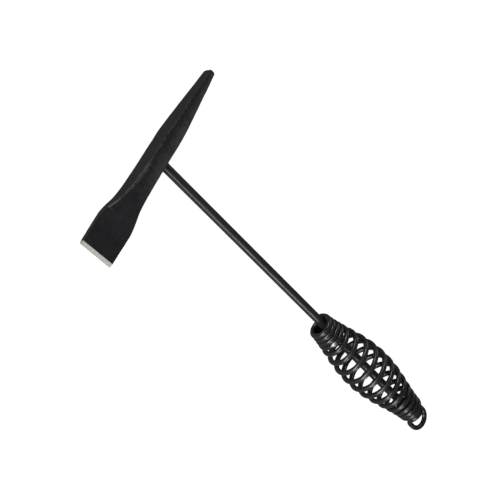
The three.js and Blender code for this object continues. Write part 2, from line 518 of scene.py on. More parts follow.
@dataclass(frozen=True)
class GroundSteel:
    """Bright steel with the fine straight lines of a grinding belt."""

    name: str = "ground_steel"
    bright: Colour = grey(0.66, 0.08)
    dull: Colour = grey(0.46, 0.09)
    smoothest: float = 0.3
    roughest: float = 0.5
    metal: float = 0.75
    relief: float = 0.02
    line_scale: tuple[float, float, float] = (1.3, 0.1, 0.3)
    stain_scale: float = 0.5
    stain_share: float = 0.3

    def material(self) -> bpy.types.Material:
        """Mixes the finish.

        Returns:
            The Blender material.
        """
        material, graph, surface = open_material(self.name)
        mapping = {"Vector": graph.millimetres(), "Scale": self.line_scale}
        place = graph.add("ShaderNodeMapping", mapping)
        lines = graph.noise(place.outputs[0], 1.0, 5.0, 0.7)
        stain = graph.noise(graph.millimetres(), self.stain_scale, 4.0, 0.6, 0.5)
        mixed = graph.math("ADD", graph.math("MULTIPLY", lines, 1 - self.stain_share),
                           graph.math("MULTIPLY", stain, self.stain_share))
        tone = graph.spread(mixed, 0.35, 0.6, smooth=False)
        links = graph.tree.links
        links.new(graph.blend(tone, self.dull, self.bright), surface.inputs["Base Color"])
        links.new(graph.spread(lines, 0.3, 0.7, self.roughest, self.smoothest, False),
                  surface.inputs["Roughness"])
        surface.inputs["Metallic"].default_value = self.metal
        add_bump(graph, surface, lines, self.relief)
        return material


@dataclass(frozen=True)
class SatinBlack:
    """Satin black paint on drawn round steel, with the metal's lines just showing."""

    name: str
    paint: Colour = grey(0.012, -0.08)
    thin: Colour = grey(0.024, -0.08)
    rubbed: Colour = grey(0.03)
    bare: Colour = grey(0.1, 0.02)
    # The colour of the painted highlight glint on one coil.
    bright: Colour = grey(0.34, 0.14)
    smoothest: float = 0.26
    roughest: float = 0.4
    gloss: float = 0.62
    line_density: float = 26.0
    line_length: float = 14.0
    line_relief: float = 0.006
    wear_reach: float = 0.22
    wear_breakup: float = 0.8
    wear_strength: float = 0.7
    specks: float = 0.08
    speck_strength: float = 0.6
    rubs: float = 0.5
    peel_scale: float = 1.7
    peel_relief: float = 1.4
    metal: float = 0.8

    def material(self) -> bpy.types.Material:
        """Mixes the finish.

        Returns:
            The Blender material.
        """
        material, graph, surface = open_material(self.name)
        place = graph.millimetres()
        lines = use_group(
            graph,
            drawn_lines_group(),
            {
                "Along": graph.attribute("along"),
                "Around": graph.attribute("around"),
                "Density": self.line_density,
                "Length": self.line_length,
            },
        ).outputs["Lines"]
        marks = use_group(
            graph, handling_group(), {"Vector": place, "Specks": self.specks, "Rubs": self.rubs}
        )
        wear = worn_edges(graph, place, self.wear_reach, self.wear_breakup)
        peel = graph.noise(place, self.peel_scale, 3.0, 0.55)
        film = graph.math("ADD", graph.math("MULTIPLY", lines, 0.55), graph.math("MULTIPLY", peel, 0.45))
        base = graph.blend(graph.spread(film, 0.3, 0.75, smooth=False), self.paint, self.thin)
        base = graph.blend(marks.outputs["Rubs"], base, self.rubbed)
        light = graph.math("MAXIMUM", graph.math("MULTIPLY", wear, self.wear_strength),
                           graph.math("MULTIPLY", marks.outputs["Specks"], self.speck_strength))
        # The glint attribute is a painted highlight: it mixes a bright steel colour and metal into one
        # coil's spot.
        glint = graph.attribute("glint")
        wear_and_glint = graph.math("MAXIMUM", light, glint)
        base = graph.blend(light, base, self.bare)
        base = graph.blend(glint, base, self.bright)
        links = graph.tree.links
        links.new(base, surface.inputs["Base Color"])
        links.new(graph.spread(film, 0.25, 0.75, self.smoothest, self.roughest, False),
                  surface.inputs["Roughness"])
        links.new(graph.math("MULTIPLY", wear_and_glint, self.metal), surface.inputs["Metallic"])
        surface.inputs["Specular IOR Level"].default_value = self.gloss
        height = graph.math("ADD", lines, graph.math("MULTIPLY", peel, self.peel_relief))
        add_bump(graph, surface, height, self.line_relief)
        return material


@dataclass(frozen=True)
class WeldBlack:
    """A rippled weld, dipped black with the tool."""

    name: str = "weld_black"
    paint: Colour = grey(0.014)
    mottled: Colour = grey(0.022)
    crest: Colour = grey(0.034)
    smoothest: float = 0.38
    roughest: float = 0.58
    gloss: float = 0.4
    relief: float = 0.06
    grain: float = 2.2
    pitting: float = 0.4
    wear_reach: float = 0.3
    wear_breakup: float = 0.5

    def material(self) -> bpy.types.Material:
        """Mixes the finish.

        Returns:
            The Blender material.
        """
        material, graph, surface = open_material(self.name)
        place = graph.millimetres()
        scale = use_group(
            graph,
            forge_scale_group(),
            {"Vector": place, "Grain": self.grain, "Pitting": self.pitting},
        )
        wear = worn_edges(graph, place, self.wear_reach, self.wear_breakup)
        base = graph.blend(scale.outputs["Mottle"], self.paint, self.mottled)
        base = graph.blend(wear, base, self.crest)
        graph.tree.links.new(base, surface.inputs["Base Color"])
        rough = graph.spread(scale.outputs["Mottle"], 0.0, 1.0, self.smoothest, self.roughest, False)
        graph.tree.links.new(rough, surface.inputs["Roughness"])
        surface.inputs["Specular IOR Level"].default_value = self.gloss
        add_bump(graph, surface, scale.outputs["Height"], self.relief)
        return material


# ---------------------------------------------------------------- mesh helpers


def ring_mesh(name: str, rings: np.ndarray, attributes: Mapping[str, np.ndarray]) -> bpy.types.Mesh:
    """Skins closed rings of points and caps both ends.

    Args:
        name: The mesh's name.
        rings: Points as ring, point on the ring, coordinate, turning by the right hand about the
            direction that the rings run in.
        attributes: Named values as ring, point on the ring.

    Returns:
        A closed smooth mesh with its faces pointing out.
    """
    count, sides, _ = rings.shape
    faces = []
    for ring in range(count - 1):
        for side in range(sides):
            a = ring * sides + side
            b = ring * sides + (side + 1) % sides
            faces.append((a, b, b + sides, a + sides))
    last = (count - 1) * sides
    faces.append(tuple(range(sides - 1, -1, -1)))
    faces.append(tuple(range(last, last + sides)))
    mesh = bpy.data.meshes.new(name)
    mesh.from_pydata(rings.reshape(-1, 3).tolist(), [], faces)
    for label, values in attributes.items():
        layer = mesh.attributes.new(label, "FLOAT", "POINT")
        layer.data.foreach_set("value", values.reshape(-1).astype(np.float32))
    mesh.shade_smooth()
    return mesh


def place_piece(name: str, mesh: bpy.types.Mesh, to_row: Matrix) -> bpy.types.Object:
    """Puts a mesh made in hammer millimetres in the scene.

    Args:
        name: The piece's name.
        mesh: The mesh.
        to_row: The matrix from the mesh's coordinates to the row's frame.

    Returns:
        The piece, with its place in its mesh.
    """
    mesh.transform(to_row)
    mesh.update()
    piece = bpy.data.objects.new(name, mesh)
    bpy.context.scene.collection.objects.link(piece)
    return piece


def run_tree(
    base: bpy.types.Mesh, tree: bpy.types.NodeTree, values: Mapping[str, Any]
) -> bpy.types.Mesh:
    """Runs a geometry tree on a mesh.

    Args:
        base: The mesh that the tree is given.
        tree: The geometry tree.
        values: The tree's inputs by name.

    Returns:
        The plain mesh that the tree makes.
    """
    worker = bpy.data.objects.new(f"{tree.name}_worker", base)
    bpy.context.scene.collection.objects.link(worker)
    modifier = worker.modifiers.new(tree.name, "NODES")
    modifier.node_group = tree
    for item in tree.interface.items_tree:
        if item.in_out == "INPUT" and item.name in values:
            modifier[item.identifier] = values[item.name]
    worker.update_tag()
    depsgraph = bpy.context.evaluated_depsgraph_get()
    mesh = bpy.data.meshes.new_from_object(worker.evaluated_get(depsgraph), depsgraph=depsgraph)
    bpy.data.objects.remove(worker)
    return mesh


def blurred(values: np.ndarray, reach: int) -> np.ndarray:
    """Rounds the kinks of evenly spaced values.

    Args:
        values: The values.
        reach: How many values on each side share in one result.

    Returns:
        The smoothed values, with both ends unchanged.
    """
    window = np.hanning(2 * reach + 3)[1:-1]
    padded = np.pad(values, reach, mode="reflect", reflect_type="odd")
    return np.convolve(padded, window / window.sum(), mode="valid")


# ---------------------------------------------------------------- head


@dataclass(frozen=True)
class Section:
    """One section of the head, in millimetres: its place along the head, its width along the
    handle, its depth, and the radius of its corners."""

    at: float
    width: float
    depth: float
    corner: float


@dataclass
class HammerHead:
    """The forged head: a flared chisel blade, a waisted body and a four-sided pick."""

    rake: float = math.radians(2.2)
    edge: Section = Section(-72.0, 25.0, 0.4, 0.08)
    sections: tuple[Section, ...] = (
        Section(-69.7, 24.8, 2.8, 0.35),
        Section(-54.0, 24.9, 3.2, 0.45),
        Section(-48.5, 24.5, 4.4, 0.4),
        Section(-42.5, 20.8, 7.2, 0.5),
        Section(-36.0, 16.2, 9.7, 0.9),
        Section(-25.0, 13.3, 12.6, 1.7),
        Section(-14.0, 11.9, 14.7, 2.0),
        Section(17.0, 11.4, 14.7, 1.9),
        Section(28.0, 9.5, 14.7, 1.5),
        Section(66.0, 4.4, 7.6, 0.8),
    )
    tip: Section = Section(68.4, 2.4, 4.6, 0.8)
    ring_spacing: float = 0.5
    kink_reach: float = 3.5
    flat_steps: tuple[int, int] = (22, 14)
    corner_steps: int = 6
    tip_rings: int = 7
    bevel_rings: int = 6
    edge_fade: float = 0.5
    hammer_marks: float = 0.11
    mark_size: float = 8.0
    skin: float = 0.035
    skin_size: float = 1.7
    seam_inset: tuple[tuple[float, float], ...] = ((-16.0, 2.6), (20.0, 2.3), (36.0, 1.5), (68.0, 1.0))
    seam_width: float = 1.4
    seam_full_at: float = 11.0
    seam_depth: float = 0.42
    seam_from: float = -16.0
    seam_to: float = 60.0
    seam_run_out: float = 12.0
    seam_waver: float = 7.0
    seam_swell: float = 3.0
    seam_patch: tuple[float, float] = (2.3, 1.6)
    grind_waver: float = 0.06
    edge_waver: float = 0.2
    waver_length: float = 5.0
    sharp_angle: float = math.radians(18)
    # Edge wear along the ridge that faces away from the grip, listed along the head: partly rubbed paint,
    # partly a painted highlight where the ridge shines.
    ridge_wear_and_highlight: tuple[tuple[float, float], ...] = (
        (-72.0, 0.6), (-45.2, 0.4), (-44.4, 1.25), (-40.0, 1.0), (-36.0, 0.68), (-14.0, 0.68),
        (-9.0, 0.72), (-5.0, 0.55), (12.0, 0.35), (28.0, 0.3), (40.0, 0.1),
    )
    other_wear: float = 0.6
    nick_at: float = -45.4
    nick_inset: float = 1.7
    nick_size: tuple[float, float] = (1.3, 0.7)
    nick_limit: float = 0.05
    # Where along the head the painted sheen grows to full strength.
    sheen_from: float = -38.0
    sheen_to: float = -8.0
    finish: BlackForging = field(default_factory=BlackForging)
    ground: GroundSteel = field(default_factory=GroundSteel)

    def all_sections(self) -> list[Section]:
        """Lists the head's sections from the blade's edge to the pick's tip.

        Returns:
            The bevel's sections, the forged stretch with its kinks rounded, and the blunt tip.
        """
        first, last = self.sections[0], self.sections[-1]
        count = round((last.at - first.at) / self.ring_spacing) + 1
        ats = np.linspace(first.at, last.at, count)
        known = [section.at for section in self.sections]
        reach = round(self.kink_reach / self.ring_spacing)
        columns = [
            blurred(np.interp(ats, known, [getattr(s, name) for s in self.sections]), reach)
            for name in ("width", "depth", "corner")
        ]
        forged = [Section(*values) for values in zip(ats.tolist(), *(c.tolist() for c in columns))]
        bevel = []
        for ring in range(self.bevel_rings):
            share = ring / self.bevel_rings
            bevel.append(self.between(self.edge, first, share, share))
        blunt = []
        for ring in range(1, self.tip_rings + 1):
            angle = ring / self.tip_rings * math.pi / 2
            blunt.append(self.between(last, self.tip, math.sin(angle), 1 - math.cos(angle)))
        return bevel + forged + blunt

    @staticmethod
    def between(start: Section, end: Section, along: float, inward: float) -> Section:
        """Finds a section between two others.

        Args:
            start: The first section.
            end: The last section.
            along: The share of the way along the head.
            inward: The share of the way in width, depth and corner.

        Returns:
            The section.
        """
        return Section(
            start.at + (end.at - start.at) * along,
            start.width + (end.width - start.width) * inward,
            start.depth + (end.depth - start.depth) * inward,
            start.corner + (end.corner - start.corner) * inward,
        )

    def outline(self, section: Section) -> list[tuple[float, float, float, float, float]]:
        """Walks round one section.

        Args:
            section: The section.

        Returns:
            For each point its x and z, its outward direction in x and z, and how near it is to a
            corner, from 0 to 1.
        """
        half_w, half_d, radius = section.width / 2, section.depth / 2, section.corner
        points = []
        corners = [(1, -1, -90), (1, 1, 0), (-1, 1, 90), (-1, -1, 180)]
        for index, (sign_x, sign_z, start) in enumerate(corners):
            centre_x, centre_z = sign_x * (half_w - radius), sign_z * (half_d - radius)
            for step in range(self.corner_steps + 1):
                angle = math.radians(start + 90 * step / self.corner_steps)
                nx, nz = math.cos(angle), math.sin(angle)
                points.append((centre_x + radius * nx, centre_z + radius * nz, nx, nz, 1.0))
            end_x, end_z = points[-1][:2]
            steps = self.flat_steps[(index + 1) % 2]
            next_x, next_z, begin = corners[(index + 1) % 4]
            nx, nz = math.cos(math.radians(begin)), math.sin(math.radians(begin))
            to_x = next_x * (half_w - radius) + radius * nx
            to_z = next_z * (half_d - radius) + radius * nz
            span = math.hypot(to_x - end_x, to_z - end_z)
            for step in range(1, steps):
                share = step / steps
                near = math.exp(-min(share, 1 - share) * span / self.edge_fade)
                x = end_x + (to_x - end_x) * share
                z = end_z + (to_z - end_z) * share
                points.append((x, z, nx, nz, near))
        return points

    def seam_at(self, section: Section, x: float, z: float, nz: float) -> float:
        """Measures the rough line beside the ridge that faces away from the grip.

        Args:
            section: The section that the point is on.
            x: The point's place along the handle.
            z: Its place out of the head.
            nz: How far it faces up.

        Returns:
            How strong the line is there, from 0 to 1.
        """
        if z < 0 or nz < 0.5:
            return 0.0
        nick = self.nick_depth(section, x)
        if nick > self.nick_limit:
            return nick
        ends = min(section.at - self.seam_from, self.seam_to - section.at) / self.seam_run_out
        if ends <= 0:
            return 0.0
        waver = noise.noise(Vector((section.at / self.seam_waver, 3.1, 0.0)))
        inset = float(np.interp(section.at, *zip(*self.seam_inset)))
        centre = -section.width / 2 + inset * (0.75 + 0.5 * waver)
        swell = abs(noise.noise(Vector((section.at / self.seam_swell, 9.2, 0.0))))
        spread = self.seam_width * min(1.0, section.width / self.seam_full_at) * (0.7 + 0.6 * swell)
        patch_length, patch_width = self.seam_patch
        patch = 0.5 + 1.5 * noise.noise(Vector((section.at / patch_length, x / patch_width, 5.0)))
        return min(ends, 1.0) * max(0.0, min(patch, 1.0)) * math.exp(-(((x - centre) / spread) ** 2))

    def nick_depth(self, section: Section, x: float) -> float:
        """Measures the small dent where the ridge runs out on the blade.

        Args:
            section: The section that the point is on.
            x: The point's place along the handle.

        Returns:
            How deep the dent is there, from 0 to 1.
        """
        width, length = self.nick_size
        aside = x + section.width / 2 - self.nick_inset
        return math.exp(-(((section.at - self.nick_at) / length) ** 2) - (aside / width) ** 2)

    def painted_sheen_at(self, section: Section, x: float, nz: float) -> float:
        """Measures the painted sheen that lightens the head's two broad sides towards the grip.

        Args:
            section: The section that the point is on.
            x: The point's place along the handle.
            nz: How far it faces up or down.

        Returns:
            How strong the painted sheen is, from 0 at the far side from the grip and on the blade to 1.
        """
        along = (section.at - self.sheen_from) / (self.sheen_to - self.sheen_from)
        across = 0.5 + x / section.width
        return max(0.0, min(along, 1.0)) * max(0.0, min(across, 1.0)) * abs(nz)

    def relief_at(self, point: Vector) -> float:
        """Measures how far forging has moved the surface.

        Args:
            point: The point, in the head's millimetres.

        Returns:
            The distance outwards, in millimetres.
        """
        marks = noise.noise(point / self.mark_size)
        skin = noise.fractal(point / self.skin_size, 0.7, 2.0, 3)
        return self.hammer_marks * marks + self.skin * skin

    def mesh(self) -> bpy.types.Mesh:
        """Builds the head.

        Returns:
            Its mesh in the head's own millimetres, unraked, with edge, seam and painted sheen attributes.
        """
        sections = self.all_sections()
        rings, edges, seams, sheens = [], [], [], []
        for section in sections:
            ground = section.at < self.sections[0].at + 0.5 * self.ring_spacing
            ring, edge_row, seam_row, sheen_row = [], [], [], []
            ridge = float(np.interp(section.at, *zip(*self.ridge_wear_and_highlight)))
            for x, z, nx, nz, near in self.outline(section):
                point = Vector((x, section.at, z))
                seam = 0.0 if ground else self.seam_at(section, x, z, nz)
                # On that ridge the edge value carries both rubbed paint and a painted highlight.
                near *= ridge if x < 0 < z else self.other_wear
                push = 0.0 if ground else self.relief_at(point) - self.seam_depth * seam
                point += Vector((nx, 0.0, nz)) * push
                if ground:
                    point.y += self.waver_at(section, point)
                ring.append(point)
                edge_row.append(near)
                seam_row.append(seam)
                sheen_row.append(self.painted_sheen_at(section, x, nz))
            rings.append(ring[::-1])
            edges.append(edge_row[::-1])
            seams.append(seam_row[::-1])
            sheens.append(sheen_row[::-1])
        layers = {"edge": np.array(edges), "seam": np.array(seams), "painted_sheen": np.array(sheens)}
        mesh = ring_mesh("forged_head", np.array(rings), layers)
        self.split_finishes(mesh)
        return mesh

    def waver_at(self, section: Section, point: Vector) -> float:
        """Measures how far the bevel's lines stray along the head.

        Args:
            section: The section that the point is on.
            point: The point, in the head's millimetres.

        Returns:
            The distance along the head, most at the grind line and least at the edge.
        """
        share = (section.at - self.edge.at) / (self.sections[0].at - self.edge.at)
        side = 40.0 if point.z > 0 else 70.0
        stray = noise.noise(Vector((point.x / self.waver_length, side, 0.0)))
        return self.grind_waver * (share * stray + self.edge_waver * (1 - share) * stray)

    def split_finishes(self, mesh: bpy.types.Mesh) -> None:
        """Gives the bevel its ground steel and keeps its lines sharp.

        Args:
            mesh: The head's mesh.
        """
        mesh.materials.append(self.finish.material())
        mesh.materials.append(self.ground.material())
        sides = len(self.outline(self.edge))
        walls = len(mesh.polygons) - 2
        for face in mesh.polygons:
            ground = face.index < self.bevel_rings * sides or face.index == walls
            face.material_index = int(ground)
        mesh.set_sharp_from_angle(angle=self.sharp_angle)

    def build(self, axes: HammerAxes) -> bpy.types.Object:
        """Makes the head and lets it stand for its CAD node.

        Args:
            axes: Where the hammer lies.

        Returns:
            The piece.
        """
        to_row = axes.matrix() @ Matrix.Rotation(self.rake, 4, "Z")
        piece = place_piece("forged_head", self.mesh(), to_row)
        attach(piece, "hammer")
        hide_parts("hammer_head")
        return piece


# ---------------------------------------------------------------- shank


@dataclass
class ShankRod:
    """The straight round bar from the head to the butt of the grip."""

    start: float = 0.2
    radius: float = 3.05
    length: float = 292.2
    sides: int = 56
    ring_spacing: float = 1.0
    end_chamfer: float = 0.5
    ripple: float = 0.012
    ripple_length: float = 9.0
    ripple_turn: float = 1.5
    sharp_angle: float = math.radians(30)
    finish: SatinBlack = field(
        default_factory=lambda: SatinBlack("satin_black_rod", grey(0.021), grey(0.034))
    )

    def mesh(self) -> bpy.types.Mesh:
        """Builds the bar along X, with both ends chamfered.

        Returns:
            Its mesh in hammer millimetres, with along and around attributes.
        """
        count = round(self.length / self.ring_spacing)
        end = self.start + self.length
        inner = np.linspace(self.start + self.end_chamfer, end - self.end_chamfer, count)
        places = [self.start, *inner.tolist(), end]
        rings, along, around = [], [], []
        for index, x in enumerate(places):
            at_end = index in (0, len(places) - 1)
            radius = self.radius - (self.end_chamfer if at_end else 0.0)
            ring = []
            for side in range(self.sides):
                angle = side / self.sides * 2 * math.pi
                y, z = math.cos(angle), math.sin(angle)
                where = Vector((x / self.ripple_length, y * self.ripple_turn, z * self.ripple_turn))
                swell = self.ripple * noise.noise(where)
                ring.append((x, (radius + swell) * y, (radius + swell) * z))
            rings.append(ring)
            along.append([x] * self.sides)
            around.append([min(side, self.sides - side) / self.sides for side in range(self.sides)])
        layers = {"along": np.array(along), "around": np.array(around)}
        mesh = ring_mesh("shank_bar", np.array(rings), layers)
        mesh.materials.append(self.finish.material())
        mesh.set_sharp_from_angle(angle=self.sharp_angle)
        return mesh

    def build(self, axes: HammerAxes) -> bpy.types.Object:
        """Makes the shank and lets it stand for its CAD node.

        Args:
            axes: Where the hammer lies.

        Returns:
            The piece.
        """
        piece = place_piece("shank_bar", self.mesh(), axes.matrix())
        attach(piece, "hammer")
        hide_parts("shank_rod")
        return piece


# ---------------------------------------------------------------- spring grip


@dataclass(frozen=True)
class CoilPitch:
    """How far apart the coils lie, in millimetres, and the turns over which that changes."""

    close: float = 3.9
    open: float = 10.15
    opens: tuple[float, float] = (3.1, 5.75)
    closes: tuple[float, float] = (10.1, 16.0)


@dataclass(frozen=True)
class HangLoop:
    """The loop at the butt, with the wire's loose end tucked against the last coil."""

    reach: float = 17.3
    half_width: float = 7.8
    offset: float = -1.2
    lead: float = 5.0
    loose_radius: float = 7.6
    loose_from: float = math.radians(145)
    loose_to: float = math.radians(60)
    loose_x: float = 2.2
    loose_drop: float = 0.5
    round_handle: float = 0.5523
    leaving: float = 3.6
    arriving: float = 2.66
    bend_steps: int = 26

    def loose_end(self) -> list[Vector]:
        """Curls the wire's loose end back against the last coil.

        Returns:
            Its centre line, in the grip's millimetres.
        """
        points = []
        for step in range(self.bend_steps + 1):
            share = step / self.bend_steps
            angle = self.loose_from + (self.loose_to - self.loose_from) * share
            y, z = self.loose_radius * math.cos(angle), self.loose_radius * math.sin(angle)
            points.append(Vector((self.loose_x - self.loose_drop * share, y, z)))
        return points

    def points(self, start: Vector, heading: Vector) -> list[Vector]:
        """Leads the wire from the last coil round the loop and back.

        Args:
            start: Where the coil ends.
            heading: The wire's direction there.

        Returns:
            The wire's centre line, in the grip's millimetres.
        """
        loose = self.loose_end()
        onward = (loose[1] - loose[0]).normalized()
        bend, curve = self.reach - self.half_width, self.round_handle * self.half_width
        high, low = self.offset + self.half_width, self.offset - self.half_width
        crown = Vector((self.reach, self.offset, 0.0))
        high_start, high_end = Vector((self.lead, high, 0.0)), Vector((bend, high, 0.0))
        low_start, low_end = Vector((bend, low, 0.0)), Vector((1.4 * self.lead, low, 0.0))
        x, y = Vector((1.0, 0.0, 0.0)), Vector((0.0, 1.0, 0.0))
        out_of_coil = high_start - Vector((0.75 * self.lead, 0.0, 0.4))
        bends = [
            (start, start + heading * self.leaving, out_of_coil, high_start),
            (high_start, high_start.lerp(high_end, 0.3), high_start.lerp(high_end, 0.7), high_end),
            (high_end, high_end + curve * x, crown + curve * y, crown),
            (crown, crown - curve * y, low_start + curve * x, low_start),
            (low_start, low_start.lerp(low_end, 0.3), low_start.lerp(low_end, 0.7), low_end),
            (low_end, low_end - 0.8 * self.lead * x, loose[0] - onward * self.arriving, loose[0]),
        ]
        points = [start]
        for knots in bends:
            points += interpolate_bezier(*knots, self.bend_steps)[1:]
        return points + loose[1:]


@dataclass
class SpringGrip:
    """The grip: one wire wound as a barrel of coils round the shank and bent into the loop."""

    turns: int = 16
    steps_per_turn: int = 56
    start_angle: float = math.radians(-57)
    pitch: CoilPitch = field(default_factory=CoilPitch)
    mouth_radius: float = 7.6
    belly_radius: float = 15.96
    butt_radius: float = 8.3
    belly_shape: float = 1.5
    wire_radius: float = 1.875
    wire_sides: int = 20
    butt_at: tuple[float, float] = (290.8, 1.45)
    tilt: float = math.radians(1.853)
    loop: HangLoop = field(default_factory=HangLoop)
    unevenness: float = 0.06
    # Where the painted highlight glint sits on one coil, and how wide it is.
    glint_at: tuple[float, float, float] = (-103.7, -6.9, 8.1)
    glint_size: float = 2.2
    join_distance: float = 0.05
    cap_angle: float = math.radians(50)
    seed: int = 7
    rub_falloff: int = 6
    loop_rub: float = 0.3
    finish: SatinBlack = field(
        default_factory=lambda: SatinBlack(
            "satin_black_wire",
            smoothest=0.2,
            roughest=0.34,
            gloss=0.72,
            line_density=18.0,
            line_length=9.0,
            line_relief=0.004,
        )
    )

    def tree(self) -> bpy.types.NodeTree:
        """Builds the geometry tree that winds the wire.

        Returns:
            A tree that joins a barrel of coils to the line it is given and gives the wire its
            thickness.
        """
        names = ("Close pitch", "Open pitch", "Opens from", "Opens to", "Closes from", "Closes to",
                 "Mouth radius", "Belly radius", "Butt radius", "Belly shape", "Start angle",
                 "Wire radius", "Unevenness")
        inputs = {"Loop line": (GEOMETRY, None), "Turns": (INTEGER, 1), "Steps per turn": (INTEGER, 8)}
        inputs |= {name: (FLOAT, 1.0) for name in names}
        inputs |= {"Wire sides": (INTEGER, 8), "Seed": (INTEGER, 0), "Finish": (MATERIAL, None)}
        graph, given, result = open_group(
            "wound_wire", "GeometryNodeTree", inputs, {"Wire": GEOMETRY}
        )
        value = given.outputs
        coil = self.coil_line(graph, value)
        joined = graph.add("GeometryNodeJoinGeometry")
        graph.tree.links.new(coil, joined.inputs[0])
        graph.tree.links.new(value["Loop line"], joined.inputs[0])
        merged = graph.add(
            "GeometryNodeMergeByDistance",
            {"Geometry": joined.outputs[0], "Distance": self.join_distance},
        )
        line = graph.add("GeometryNodeMeshToCurve", {0: merged.outputs[0]}).outputs[0]
        wire = self.thicken(graph, value, line)
        real = graph.add("GeometryNodeRealizeInstances", {0: wire}).outputs[0]
        dressed = graph.add("GeometryNodeSetMaterial", {"Geometry": real, "Material": value["Finish"]})
        graph.tree.links.new(dressed.outputs[0], result.inputs["Wire"])
        return graph.tree

    @staticmethod
    def coil_line(graph: Graph, value: Mapping[str, Any]) -> bpy.types.NodeSocket:
        """Winds the coil's centre line, from the mouth to the butt at x = 0.

        Args:
            graph: The geometry tree.
            value: The tree's inputs by name.

        Returns:
            The line as a mesh of points and edges.
        """
        per_turn = value["Steps per turn"]
        count = graph.math("ADD", graph.math("MULTIPLY", value["Turns"], per_turn), 1.0)
        line = graph.add("GeometryNodeMeshLine", {"Count": count, "Offset": (0.0, 0.0, 0.0)}).outputs[0]
        index = graph.add("GeometryNodeInputIndex").outputs[0]
        turn = graph.math("DIVIDE", index, per_turn)
        middle = graph.math("DIVIDE", graph.math("SUBTRACT", index, 0.5), per_turn)
        opened = graph.spread(middle, value["Opens from"], value["Opens to"])
        closed = graph.spread(middle, value["Closes from"], value["Closes to"], 1.0, 0.0)
        extra = graph.math("SUBTRACT", value["Open pitch"], value["Close pitch"])
        pitch = graph.math(
            "MULTIPLY_ADD", extra, graph.math("MULTIPLY", opened, closed), value["Close pitch"]
        )
        moving = graph.math("GREATER_THAN", index, 0.5)
        step = graph.math("MULTIPLY", graph.math("DIVIDE", pitch, per_turn), moving)
        sums = graph.add("GeometryNodeAccumulateField", {0: step}, data_type="FLOAT")
        reached, length = sums.outputs["Leading"], sums.outputs["Total"]
        share = graph.math("DIVIDE", reached, length)
        arch = graph.math("SINE", graph.math("MULTIPLY", graph.math("MINIMUM", share, 1.0), math.pi))
        swell = graph.math("POWER", graph.math("MAXIMUM", arch, 0.0), value["Belly shape"])
        ends = graph.spread(share, 0.0, 1.0, value["Mouth radius"], value["Butt radius"], False)
        over = graph.math("SUBTRACT", value["Belly radius"], ends)
        where = graph.combine(graph.math("MULTIPLY", turn, 0.8), value["Seed"], 0.0)
        uneven = graph.math("SUBTRACT", graph.noise(where, 1.0, 1.0), 0.5)
        uneven = graph.math("MULTIPLY", graph.math("MULTIPLY", uneven, swell), value["Unevenness"])
        radius = graph.math("ADD", graph.math("MULTIPLY_ADD", over, swell, ends), uneven)
        angle = graph.math("MULTIPLY_ADD", turn, 2 * math.pi, value["Start angle"])
        place = graph.combine(
            graph.math("SUBTRACT", reached, length),
            graph.math("MULTIPLY", radius, graph.math("COSINE", angle)),
            graph.math("MULTIPLY", radius, graph.math("SINE", angle)),
        )
        return graph.add("GeometryNodeSetPosition", {"Geometry": line, "Position": place}).outputs[0]

    @staticmethod
    def thicken(graph: Graph, value: Mapping[str, Any], line: Any) -> bpy.types.NodeSocket:
        """Sweeps a round section along the wire's centre line.

        Args:
            graph: The geometry tree.
            value: The tree's inputs by name.
            line: The centre line as a curve.

        Returns:
            The wire's mesh, with along and around attributes.
        """
        measure = graph.add("GeometryNodeSplineParameter")
        marked = graph.add(
            "GeometryNodeStoreNamedAttribute",
            {"Geometry": line, "Name": "along", "Value": measure.outputs["Length"]},
            data_type="FLOAT",
        ).outputs[0]
        section = graph.circle(value["Wire sides"], value["Wire radius"])
        factor = graph.math("PINGPONG", measure.outputs["Factor"], 0.5)
        section = graph.add(
            "GeometryNodeStoreNamedAttribute",
            {"Geometry": section, "Name": "around", "Value": factor},
            data_type="FLOAT",
        ).outputs[0]
        swept = graph.add(
            "GeometryNodeCurveToMesh", {"Curve": marked, "Profile Curve": section, "Fill Caps": True}
        ).outputs[0]
        return graph.add("GeometryNodeSetShadeSmooth", {"Geometry": swept}).outputs[0]

    def loop_line(self) -> bpy.types.Mesh:
        """Lays out the loop's centre line, from the end of the last coil.

        Returns:
            The line as a mesh of points and edges, in the grip's millimetres.
        """
        angle = self.start_angle + self.turns * 2 * math.pi
        y, z = math.cos(angle), math.sin(angle)
        start = Vector((0.0, self.butt_radius * y, self.butt_radius * z))
        rise = self.pitch.close / (2 * math.pi)
        heading = Vector((rise, -self.butt_radius * z, self.butt_radius * y)).normalized()
        points = self.loop.points(start, heading)
        mesh = bpy.data.meshes.new("loop_line")
        mesh.from_pydata(points, [(i, i + 1) for i in range(len(points) - 1)], [])
        return mesh

    def mark_wear_and_glint(self, mesh: bpy.types.Mesh) -> None:
        """Marks where a hand rubs the coils, and a painted highlight glint on one coil.

        Args:
            mesh: The wire's mesh in the grip's millimetres.
        """
        spot = Vector(self.glint_at)
        edge = mesh.attributes.new("edge", "FLOAT", "POINT")
        glint = mesh.attributes.new("glint", "FLOAT", "POINT")
        for vertex, normal in zip(mesh.vertices, mesh.vertex_normals):
            radial = Vector((0.0, vertex.co.y, vertex.co.z)).normalized()
            facing = max(0.0, normal.vector.dot(radial))
            on_coil = vertex.co.x < self.wire_radius
            rubbed = facing**self.rub_falloff if on_coil else self.loop_rub * facing
            edge.data[vertex.index].value = rubbed
            # The glint is a painted highlight: a bright spot on one coil where a specular glint falls.
            near = max(0.0, 1.0 - (vertex.co - spot).length / self.glint_size)
            glint.data[vertex.index].value = min(1.0, 2.0 * near)

